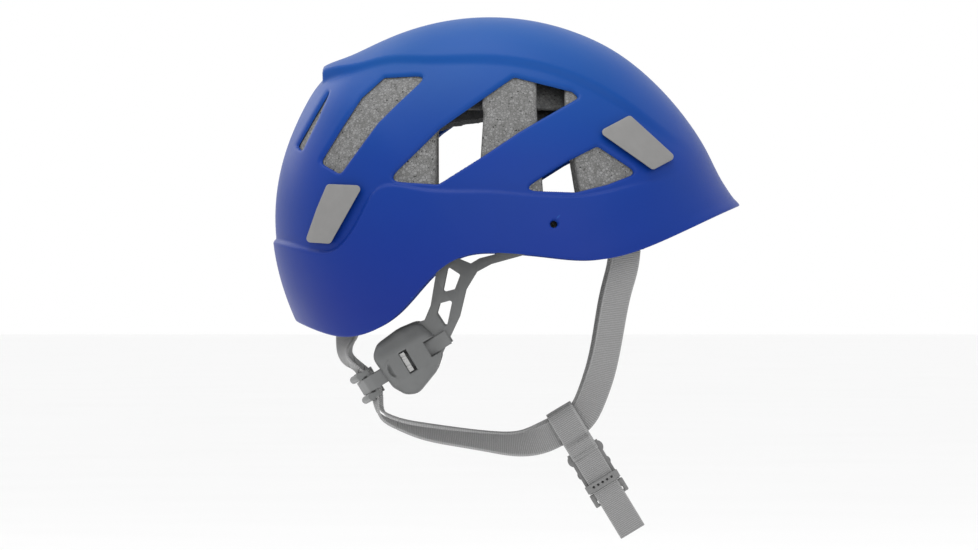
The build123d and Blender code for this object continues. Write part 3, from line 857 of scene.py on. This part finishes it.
def shellFinish():
    # moulded shell: blue through its whole thickness and satin; the blue is painted darker towards the rim and
    # lighter towards the crown as the light from above falls, and a painted highlight lightens its sharp edges
    material, nodes, links = openMaterial("blueMouldedShell")
    colourFrame = nodes.new("NodeFrame")
    colourFrame.label = "moulded colour and painted light"
    grainFrame = nodes.new("NodeFrame")
    grainFrame.label = "satin grain"
    place = nodes.new("ShaderNodeTexCoord")
    place.label = "place on the helmet"
    split = nodes.new("ShaderNodeSeparateXYZ")
    split.label = "height"
    split.parent = colourFrame
    spread = nodes.new("ShaderNodeMapRange")
    spread.label = "from rim to crown"
    spread.parent = colourFrame
    shade = nodes.new("ShaderNodeValToRGB")
    shade.label = "blue from rim to crown"
    shade.parent = colourFrame
    flow = nodes.new("ShaderNodeTexNoise")
    flow.label = "flow of the plastic"
    flow.parent = colourFrame
    drift = nodes.new("ShaderNodeMix")
    drift.label = "faint flow marks"
    drift.parent = colourFrame
    bend = nodes.new("ShaderNodeNewGeometry")
    bend.label = "sharp bends"
    bend.parent = colourFrame
    # this pointiness mask and the mix below paint a paler blue highlight on the sharp edges
    edgeHighlightMask = nodes.new("ShaderNodeMapRange")
    edgeHighlightMask.label = "sharp edges for the painted highlight"
    edgeHighlightMask.parent = colourFrame
    wear = nodes.new("ShaderNodeMix")
    wear.label = "painted highlight on sharp edges"
    wear.parent = colourFrame
    grain = nodes.new("ShaderNodeTexNoise")
    grain.label = "mould grain"
    grain.parent = grainFrame
    relief = nodes.new("ShaderNodeBump")
    relief.label = "grain relief"
    relief.parent = grainFrame
    smear = nodes.new("ShaderNodeTexNoise")
    smear.label = "handling marks"
    smear.parent = grainFrame
    gloss = nodes.new("ShaderNodeMapRange")
    gloss.label = "uneven satin"
    gloss.parent = grainFrame
    surface = nodes.new("ShaderNodeBsdfPrincipled")
    surface.label = "blue shell"
    output = nodes.new("ShaderNodeOutputMaterial")
    output.label = "shell surface"
    spreadNodes(nodes)
    # painted light: the ramp by height makes the top of the shell lighter and its lower band darker
    spread.inputs["From Min"].default_value = -0.045
    spread.inputs["From Max"].default_value = 0.125
    ramp = shade.color_ramp
    ramp.elements[0].color = (*shellPaint["low"], 1)
    ramp.elements[1].color = (*shellPaint["high"], 1)
    centre = ramp.elements.new(0.5)
    centre.color = (*shellPaint["middle"], 1)
    flow.inputs["Scale"].default_value = 22
    flow.inputs["Detail"].default_value = 3
    drift.data_type = "RGBA"
    drift.blend_type = "OVERLAY"
    drift.inputs["Factor"].default_value = 0.06
    # painted highlight: the sharpest edges get the paler blue
    edgeHighlightMask.inputs["From Min"].default_value = 0.56
    edgeHighlightMask.inputs["From Max"].default_value = 0.72
    edgeHighlightMask.inputs["To Max"].default_value = 0.4
    wear.data_type = "RGBA"
    wear.inputs["B"].default_value = (*shellPaint["paintedEdgeHighlight"], 1)
    grain.inputs["Scale"].default_value = shellPaint["grain"]
    grain.inputs["Detail"].default_value = 2
    relief.inputs["Strength"].default_value = shellPaint["grainDepth"]
    relief.inputs["Distance"].default_value = 0.0004
    smear.inputs["Scale"].default_value = 35
    smear.inputs["Detail"].default_value = 5
    gloss.inputs["To Min"].default_value = shellPaint["roughness"] - 0.05
    gloss.inputs["To Max"].default_value = shellPaint["roughness"] + 0.07
    surface.inputs["IOR"].default_value = 1.3
    surface.inputs["Coat Weight"].default_value = shellPaint["coat"]
    surface.inputs["Coat Roughness"].default_value = 0.3
    surface.inputs["Specular IOR Level"].default_value = 0.3
    links.new(place.outputs["Object"], split.inputs["Vector"])
    links.new(split.outputs["Z"], spread.inputs["Value"])
    links.new(spread.outputs["Result"], shade.inputs["Fac"])
    links.new(place.outputs["Object"], flow.inputs["Vector"])
    links.new(shade.outputs["Color"], drift.inputs["A"])
    links.new(flow.outputs["Color"], drift.inputs["B"])
    links.new(bend.outputs["Pointiness"], edgeHighlightMask.inputs["Value"])
    links.new(edgeHighlightMask.outputs["Result"], wear.inputs["Factor"])
    links.new(drift.outputs["Result"], wear.inputs["A"])
    links.new(wear.outputs["Result"], surface.inputs["Base Color"])
    links.new(place.outputs["Object"], grain.inputs["Vector"])
    links.new(grain.outputs["Fac"], relief.inputs["Height"])
    links.new(relief.outputs["Normal"], surface.inputs["Normal"])
    links.new(place.outputs["Object"], smear.inputs["Vector"])
    links.new(smear.outputs["Fac"], gloss.inputs["Value"])
    links.new(gloss.outputs["Result"], surface.inputs["Roughness"])
    links.new(surface.outputs["BSDF"], output.inputs["Surface"])
    return material


def beadFoam(name, pale, deep, speck):
    # bead foam: fused beads about 2 mm across, skinned over, with black flecks and open pits
    material, nodes, links = openMaterial(name)
    beadFrame = nodes.new("NodeFrame")
    beadFrame.label = "beads"
    fleckFrame = nodes.new("NodeFrame")
    fleckFrame.label = "black flecks"
    reliefFrame = nodes.new("NodeFrame")
    reliefFrame.label = "skin relief"
    place = nodes.new("ShaderNodeTexCoord")
    place.label = "place in the foam"
    beads = nodes.new("ShaderNodeTexVoronoi")
    beads.label = "one shade for each bead"
    beads.parent = beadFrame
    beadShade = nodes.new("ShaderNodeSeparateColor")
    beadShade.label = "bead shade"
    beadShade.parent = beadFrame
    seams = nodes.new("ShaderNodeTexVoronoi")
    seams.label = "seams between beads"
    seams.parent = beadFrame
    seamLine = nodes.new("ShaderNodeMapRange")
    seamLine.label = "dark seams"
    seamLine.parent = beadFrame
    mottle = nodes.new("ShaderNodeTexNoise")
    mottle.label = "steam mottling"
    mottle.parent = beadFrame
    blend = nodes.new("ShaderNodeMix")
    blend.label = "beads and mottling"
    blend.parent = beadFrame
    tone = nodes.new("ShaderNodeValToRGB")
    tone.label = "foam grey"
    tone.parent = beadFrame
    seamTone = nodes.new("ShaderNodeMix")
    seamTone.label = "darken the seams"
    seamTone.parent = beadFrame
    flecks = nodes.new("ShaderNodeTexNoise")
    flecks.label = "flecks and pits"
    flecks.parent = fleckFrame
    fleckCut = nodes.new("ShaderNodeMapRange")
    fleckCut.label = "only the darkest"
    fleckCut.parent = fleckFrame
    fleckTone = nodes.new("ShaderNodeMix")
    fleckTone.label = "black flecks"
    fleckTone.parent = fleckFrame
    hollow = nodes.new("ShaderNodeMath")
    hollow.label = "pits sink in"
    hollow.parent = reliefFrame
    relief = nodes.new("ShaderNodeBump")
    relief.label = "bead relief"
    relief.parent = reliefFrame
    surface = nodes.new("ShaderNodeBsdfPrincipled")
    surface.label = "bead foam"
    output = nodes.new("ShaderNodeOutputMaterial")
    output.label = "foam surface"
    spreadNodes(nodes)
    beads.inputs["Scale"].default_value = 620
    seams.feature = "DISTANCE_TO_EDGE"
    seams.inputs["Scale"].default_value = 620
    seamLine.inputs["From Max"].default_value = 0.12
    mottle.inputs["Scale"].default_value = 240
    mottle.inputs["Detail"].default_value = 6
    mottle.inputs["Roughness"].default_value = 0.7
    blend.inputs["Factor"].default_value = 0.62
    tone.color_ramp.elements[0].position = 0.28
    tone.color_ramp.elements[0].color = (*deep, 1)
    tone.color_ramp.elements[1].position = 0.72
    tone.color_ramp.elements[1].color = (*pale, 1)
    seamTone.data_type = "RGBA"
    seamTone.inputs["A"].default_value = (*[v * 0.75 for v in deep], 1)
    flecks.inputs["Scale"].default_value = 520
    flecks.inputs["Detail"].default_value = 2
    flecks.inputs["Roughness"].default_value = 0.6
    fleckCut.inputs["From Min"].default_value = 0.355
    fleckCut.inputs["From Max"].default_value = 0.30
    fleckTone.data_type = "RGBA"
    fleckTone.inputs["B"].default_value = (*speck, 1)
    hollow.operation = "MULTIPLY"
    relief.inputs["Strength"].default_value = 0.5
    relief.inputs["Distance"].default_value = 0.0005
    surface.inputs["Roughness"].default_value = 0.82
    surface.inputs["Specular IOR Level"].default_value = 0.3
    links.new(place.outputs["Object"], beads.inputs["Vector"])
    links.new(beads.outputs["Color"], beadShade.inputs["Color"])
    links.new(place.outputs["Object"], seams.inputs["Vector"])
    links.new(seams.outputs["Distance"], seamLine.inputs["Value"])
    links.new(place.outputs["Object"], mottle.inputs["Vector"])
    links.new(beadShade.outputs["Red"], blend.inputs["A"])
    links.new(mottle.outputs["Fac"], blend.inputs["B"])
    links.new(blend.outputs["Result"], tone.inputs["Fac"])
    links.new(seamLine.outputs["Result"], seamTone.inputs["Factor"])
    links.new(tone.outputs["Color"], seamTone.inputs["B"])
    links.new(place.outputs["Object"], flecks.inputs["Vector"])
    links.new(flecks.outputs["Fac"], fleckCut.inputs["Value"])
    links.new(fleckCut.outputs["Result"], fleckTone.inputs["Factor"])
    links.new(seamTone.outputs["Result"], fleckTone.inputs["A"])
    links.new(fleckTone.outputs["Result"], surface.inputs["Base Color"])
    links.new(seamLine.outputs["Result"], hollow.inputs[0])
    links.new(flecks.outputs["Fac"], hollow.inputs[1])
    links.new(hollow.outputs["Value"], relief.inputs["Height"])
    links.new(relief.outputs["Normal"], surface.inputs["Normal"])
    links.new(surface.outputs["BSDF"], output.inputs["Surface"])
    return material


def wovenWeb(name, pale, deep):
    # webbing: fine ribs across its width, four yarns side by side in each, and a tighter edge
    material, nodes, links = openMaterial(name)
    ribFrame = nodes.new("NodeFrame")
    ribFrame.label = "ribs across the webbing"
    yarnFrame = nodes.new("NodeFrame")
    yarnFrame.label = "yarns"
    edgeFrame = nodes.new("NodeFrame")
    edgeFrame.label = "woven edge"
    flat = nodes.new("ShaderNodeTexCoord")
    flat.label = "metres along and across"
    inMillimetres = nodes.new("ShaderNodeMapping")
    inMillimetres.label = "millimetres"
    split = nodes.new("ShaderNodeSeparateXYZ")
    split.label = "along and across"
    ribs = nodes.new("ShaderNodeTexWave")
    ribs.label = "cross ribs"
    ribs.parent = ribFrame
    ribTone = nodes.new("ShaderNodeMix")
    ribTone.label = "rib shade"
    ribTone.parent = ribFrame
    yarns = nodes.new("ShaderNodeTexWave")
    yarns.label = "yarns side by side"
    yarns.parent = yarnFrame
    fibre = nodes.new("ShaderNodeTexNoise")
    fibre.label = "loose fibre"
    fibre.parent = yarnFrame
    mixYarn = nodes.new("ShaderNodeMath")
    mixYarn.label = "yarn over rib"
    mixYarn.parent = yarnFrame
    fibreTone = nodes.new("ShaderNodeMix")
    fibreTone.label = "fibre shade"
    fibreTone.parent = yarnFrame
    fromMiddle = nodes.new("ShaderNodeMath")
    fromMiddle.label = "from the middle"
    fromMiddle.parent = edgeFrame
    bothSides = nodes.new("ShaderNodeMath")
    bothSides.label = "both edges"
    bothSides.parent = edgeFrame
    edgeBand = nodes.new("ShaderNodeMapRange")
    edgeBand.label = "last millimetre"
    edgeBand.parent = edgeFrame
    edgeTone = nodes.new("ShaderNodeMix")
    edgeTone.label = "paler edge"
    edgeTone.parent = edgeFrame
    relief = nodes.new("ShaderNodeBump")
    relief.label = "weave relief"
    surface = nodes.new("ShaderNodeBsdfPrincipled")
    surface.label = "webbing"
    output = nodes.new("ShaderNodeOutputMaterial")
    output.label = "webbing surface"
    spreadNodes(nodes)
    inMillimetres.inputs["Scale"].default_value = (1000, 1000, 1000)
    ribs.inputs["Scale"].default_value = 0.29
    ribs.inputs["Distortion"].default_value = 0.25
    ribs.inputs["Detail"].default_value = 1
    ribTone.data_type = "RGBA"
    ribTone.inputs["A"].default_value = (*deep, 1)
    ribTone.inputs["B"].default_value = (*pale, 1)
    yarns.bands_direction = "Y"
    yarns.inputs["Scale"].default_value = 0.52
    yarns.inputs["Distortion"].default_value = 0.4
    fibre.inputs["Scale"].default_value = 1.6
    fibre.inputs["Detail"].default_value = 5
    mixYarn.operation = "MULTIPLY_ADD"
    mixYarn.inputs[1].default_value = 0.3
    fibreTone.data_type = "RGBA"
    fibreTone.blend_type = "OVERLAY"
    fibreTone.inputs["Factor"].default_value = 0.32
    fromMiddle.operation = "SUBTRACT"
    fromMiddle.inputs[1].default_value = 8
    bothSides.operation = "ABSOLUTE"
    edgeBand.inputs["From Min"].default_value = 7.0
    edgeBand.inputs["From Max"].default_value = 7.5
    edgeBand.inputs["To Max"].default_value = 0.4
    edgeTone.data_type = "RGBA"
    edgeTone.inputs["B"].default_value = (*[v * 1.25 for v in pale], 1)
    relief.inputs["Strength"].default_value = 0.55
    relief.inputs["Distance"].default_value = 0.0003
    surface.inputs["Roughness"].default_value = 0.78
    surface.inputs["Sheen Weight"].default_value = 0.15
    surface.inputs["Sheen Roughness"].default_value = 0.5
    links.new(flat.outputs["UV"], inMillimetres.inputs["Vector"])
    links.new(inMillimetres.outputs["Vector"], split.inputs["Vector"])
    links.new(inMillimetres.outputs["Vector"], ribs.inputs["Vector"])
    links.new(ribs.outputs["Fac"], ribTone.inputs["Factor"])
    links.new(inMillimetres.outputs["Vector"], yarns.inputs["Vector"])
    links.new(inMillimetres.outputs["Vector"], fibre.inputs["Vector"])
    links.new(yarns.outputs["Fac"], mixYarn.inputs[0])
    links.new(ribs.outputs["Fac"], mixYarn.inputs[2])
    links.new(ribTone.outputs["Result"], fibreTone.inputs["A"])
    links.new(fibre.outputs["Fac"], fibreTone.inputs["B"])
    links.new(split.outputs["Y"], fromMiddle.inputs[0])
    links.new(fromMiddle.outputs["Value"], bothSides.inputs[0])
    links.new(bothSides.outputs["Value"], edgeBand.inputs["Value"])
    links.new(edgeBand.outputs["Result"], edgeTone.inputs["Factor"])
    links.new(fibreTone.outputs["Result"], edgeTone.inputs["A"])
    links.new(edgeTone.outputs["Result"], surface.inputs["Base Color"])
    links.new(mixYarn.outputs["Value"], relief.inputs["Height"])
    links.new(relief.outputs["Normal"], surface.inputs["Normal"])
    links.new(surface.outputs["BSDF"], output.inputs["Surface"])
    return material


def mouldedPlastic(name, colour, paintedEdgeHighlight, roughness, grainScale):
    # moulded fittings: fine matt grain, faint mottling and a painted highlight on sharp edges
    material, nodes, links = openMaterial(name)
    colourFrame = nodes.new("NodeFrame")
    colourFrame.label = "plastic colour"
    grainFrame = nodes.new("NodeFrame")
    grainFrame.label = "matt grain"
    place = nodes.new("ShaderNodeTexCoord")
    place.label = "place on the fitting"
    mottle = nodes.new("ShaderNodeTexNoise")
    mottle.label = "faint mottling"
    mottle.parent = colourFrame
    tint = nodes.new("ShaderNodeMix")
    tint.label = "plastic colour"
    tint.parent = colourFrame
    bend = nodes.new("ShaderNodeNewGeometry")
    bend.label = "sharp bends"
    bend.parent = colourFrame
    # this pointiness mask and the mix below paint a paler highlight on the sharp edges
    edgeHighlightMask = nodes.new("ShaderNodeMapRange")
    edgeHighlightMask.label = "sharp edges for the painted highlight"
    edgeHighlightMask.parent = colourFrame
    wear = nodes.new("ShaderNodeMix")
    wear.label = "painted edge highlight"
    wear.parent = colourFrame
    grain = nodes.new("ShaderNodeTexNoise")
    grain.label = "spark grain"
    grain.parent = grainFrame
    relief = nodes.new("ShaderNodeBump")
    relief.label = "grain relief"
    relief.parent = grainFrame
    gloss = nodes.new("ShaderNodeMapRange")
    gloss.label = "uneven sheen"
    gloss.parent = grainFrame
    surface = nodes.new("ShaderNodeBsdfPrincipled")
    surface.label = "moulded plastic"
    output = nodes.new("ShaderNodeOutputMaterial")
    output.label = "fitting surface"
    spreadNodes(nodes)
    mottle.inputs["Scale"].default_value = 160
    mottle.inputs["Detail"].default_value = 4
    tint.data_type = "RGBA"
    tint.inputs["A"].default_value = (*[v * 0.9 for v in colour], 1)
    tint.inputs["B"].default_value = (*[v * 1.1 for v in colour], 1)
    edgeHighlightMask.inputs["From Min"].default_value = 0.53
    edgeHighlightMask.inputs["From Max"].default_value = 0.66
    edgeHighlightMask.inputs["To Max"].default_value = 0.6
    wear.data_type = "RGBA"
    wear.inputs["B"].default_value = (*paintedEdgeHighlight, 1)
    grain.inputs["Scale"].default_value = grainScale
    grain.inputs["Detail"].default_value = 3
    relief.inputs["Strength"].default_value = 0.12
    relief.inputs["Distance"].default_value = 0.0003
    gloss.inputs["To Min"].default_value = roughness - 0.05
    gloss.inputs["To Max"].default_value = roughness + 0.08
    surface.inputs["Specular IOR Level"].default_value = 0.4
    links.new(place.outputs["Object"], mottle.inputs["Vector"])
    links.new(mottle.outputs["Fac"], tint.inputs["Factor"])
    links.new(bend.outputs["Pointiness"], edgeHighlightMask.inputs["Value"])
    links.new(edgeHighlightMask.outputs["Result"], wear.inputs["Factor"])
    links.new(tint.outputs["Result"], wear.inputs["A"])
    links.new(wear.outputs["Result"], surface.inputs["Base Color"])
    links.new(place.outputs["Object"], grain.inputs["Vector"])
    links.new(grain.outputs["Fac"], relief.inputs["Height"])
    links.new(relief.outputs["Normal"], surface.inputs["Normal"])
    links.new(mottle.outputs["Fac"], gloss.inputs["Value"])
    links.new(gloss.outputs["Result"], surface.inputs["Roughness"])
    links.new(surface.outputs["BSDF"], output.inputs["Surface"])
    return material


def padCloth():
    # brushed knit over foam: small loops with a soft nap
    material, nodes, links = openMaterial("brushedPadKnit")
    knitFrame = nodes.new("NodeFrame")
    knitFrame.label = "knit"
    place = nodes.new("ShaderNodeTexCoord")
    place.label = "place on the pad"
    loops = nodes.new("ShaderNodeTexVoronoi")
    loops.label = "knitted loops"
    loops.parent = knitFrame
    nap = nodes.new("ShaderNodeTexNoise")
    nap.label = "brushed nap"
    nap.parent = knitFrame
    tone = nodes.new("ShaderNodeValToRGB")
    tone.label = "knit grey"
    tone.parent = knitFrame
    height = nodes.new("ShaderNodeMath")
    height.label = "loops and nap"
    height.parent = knitFrame
    relief = nodes.new("ShaderNodeBump")
    relief.label = "knit relief"
    surface = nodes.new("ShaderNodeBsdfPrincipled")
    surface.label = "pad cloth"
    output = nodes.new("ShaderNodeOutputMaterial")
    output.label = "pad surface"
    spreadNodes(nodes)
    loops.inputs["Scale"].default_value = 900
    nap.inputs["Scale"].default_value = 1500
    nap.inputs["Detail"].default_value = 4
    tone.color_ramp.elements[0].position = 0.3
    tone.color_ramp.elements[0].color = (0.035, 0.036, 0.038, 1)
    tone.color_ramp.elements[1].position = 0.75
    tone.color_ramp.elements[1].color = (0.075, 0.077, 0.08, 1)
    height.operation = "SUBTRACT"
    relief.inputs["Strength"].default_value = 0.5
    relief.inputs["Distance"].default_value = 0.0005
    surface.inputs["Roughness"].default_value = 0.92
    surface.inputs["Sheen Weight"].default_value = 0.35
    surface.inputs["Sheen Roughness"].default_value = 0.45
    links.new(place.outputs["Object"], loops.inputs["Vector"])
    links.new(place.outputs["Object"], nap.inputs["Vector"])
    links.new(nap.outputs["Fac"], tone.inputs["Fac"])
    links.new(nap.outputs["Fac"], height.inputs[0])
    links.new(loops.outputs["Distance"], height.inputs[1])
    links.new(height.outputs["Value"], relief.inputs["Height"])
    links.new(tone.outputs["Color"], surface.inputs["Base Color"])
    links.new(relief.outputs["Normal"], surface.inputs["Normal"])
    links.new(surface.outputs["BSDF"], output.inputs["Surface"])
    return material


def studioPaper():
    material, nodes, links = openMaterial("studioPaper")
    place = nodes.new("ShaderNodeTexCoord")
    place.label = "place on the floor"
    tooth = nodes.new("ShaderNodeTexNoise")
    tooth.label = "paper tooth"
    tone = nodes.new("ShaderNodeValToRGB")
    tone.label = "near white"
    surface = nodes.new("ShaderNodeBsdfPrincipled")
    surface.label = "matt paper"
    output = nodes.new("ShaderNodeOutputMaterial")
    output.label = "backdrop surface"
    spreadNodes(nodes)
    tooth.inputs["Scale"].default_value = 3
    tone.color_ramp.elements[0].color = (0.93, 0.93, 0.93, 1)
    tone.color_ramp.elements[1].color = (0.96, 0.96, 0.96, 1)
    surface.inputs["Roughness"].default_value = 0.95
    surface.inputs["Specular IOR Level"].default_value = 0.1
    links.new(place.outputs["Object"], tooth.inputs["Vector"])
    links.new(tooth.outputs["Fac"], tone.inputs["Fac"])
    links.new(tone.outputs["Color"], surface.inputs["Base Color"])
    links.new(surface.outputs["BSDF"], output.inputs["Surface"])
    return material


def wear(pieces, material):
    for piece in pieces:
        piece.data.materials.clear()
        piece.data.materials.append(material)


paleFoam = beadFoam("paleBeadFoam", (0.215, 0.215, 0.215), (0.115, 0.115, 0.112), (0.010, 0.010, 0.010))
darkFoam = beadFoam("darkBeadFoam", (0.15, 0.152, 0.15), (0.085, 0.086, 0.085), (0.012, 0.012, 0.012))
wear([outerShell], shellFinish())
wear([ringFoam], paleFoam)
wear([crownFoam], darkFoam)
wear(sideStraps + chinStraps, wovenWeb("greyWebbing", (0.25, 0.25, 0.25), (0.16, 0.16, 0.16)))
# the second colour of each finish is its painted highlight on sharp edges
wear(stitches, mouldedPlastic("greyThread", (0.21, 0.21, 0.21), (0.26, 0.26, 0.26), 0.7, 3000))
clipPlastic = mouldedPlastic("clipPlastic", (0.175, 0.173, 0.17), (0.25, 0.247, 0.243), 0.5, 2200)
fittingPlastic = mouldedPlastic("fittingPlastic", (0.115, 0.118, 0.118), (0.18, 0.183, 0.183), 0.5, 1800)
bucklePlastic = mouldedPlastic("bucklePlastic", (0.14, 0.14, 0.14), (0.20, 0.20, 0.20), 0.45, 2000)
pawlPlastic = mouldedPlastic("pawlPlastic", (0.36, 0.36, 0.355), (0.45, 0.45, 0.445), 0.35, 2000)
finishes = {
    "clip_grey": clipPlastic, "grey_plastic": fittingPlastic,
    "buckle_grey": bucklePlastic, "pawl_grey": pawlPlastic,
}
for piece, slotName in plastics:
    wear([piece], finishes[slotName])
wear(housings, fittingPlastic)
wear(padPieces, padCloth())
print("finishes:", len(bpy.data.materials))

# plain pale floor that reaches far past the view, and soft light
studio = {"floorHeight": -0.30, "size": 60.0, "edge": 0.4}
bpy.ops.object.select_all(action="DESELECT")
bpy.ops.mesh.primitive_plane_add(size=1, location=(0, 0, 0))
floor = bpy.context.object
floor.name = "studioFloor"
bpy.ops.object.mode_set(mode="EDIT")
bpy.ops.mesh.select_all(action="SELECT")
bpy.ops.transform.resize(value=(studio["size"], studio["size"], 1))
bpy.ops.transform.translate(value=(0, 0, studio["floorHeight"]))
bpy.ops.mesh.bevel(offset=studio["edge"], segments=6, affect="VERTICES")
bpy.ops.object.mode_set(mode="OBJECT")
wear([floor], studioPaper())

lamps = [
    {"name": "overheadLamp", "place": (-0.3, -0.2, 1.7), "size": 1.6, "power": 20},
    {"name": "frontLamp", "place": (0.5, -2.2, 0.9), "size": 1.6, "power": 13},
    {"name": "backLamp", "place": (-1.2, 1.2, 0.9), "size": 1.2, "power": 8},
]
for lamp in lamps:
    bpy.ops.object.select_all(action="DESELECT")
    bpy.ops.object.light_add(type="AREA", location=lamp["place"])
    light = bpy.context.object
    light.name = lamp["name"]
    light.data.size = lamp["size"]
    light.data.energy = lamp["power"]
    light.rotation_euler = (-Vector(lamp["place"])).to_track_quat("-Z", "Y").to_euler()

world = bpy.data.worlds.new("softRoom")
bpy.context.scene.world = world
world.use_nodes = True
world.node_tree.nodes["Background"].inputs["Color"].default_value = (1, 1, 1, 1)
world.node_tree.nodes["Background"].inputs["Strength"].default_value = 1.0
bpy.context.scene.view_settings.view_transform = "Standard"
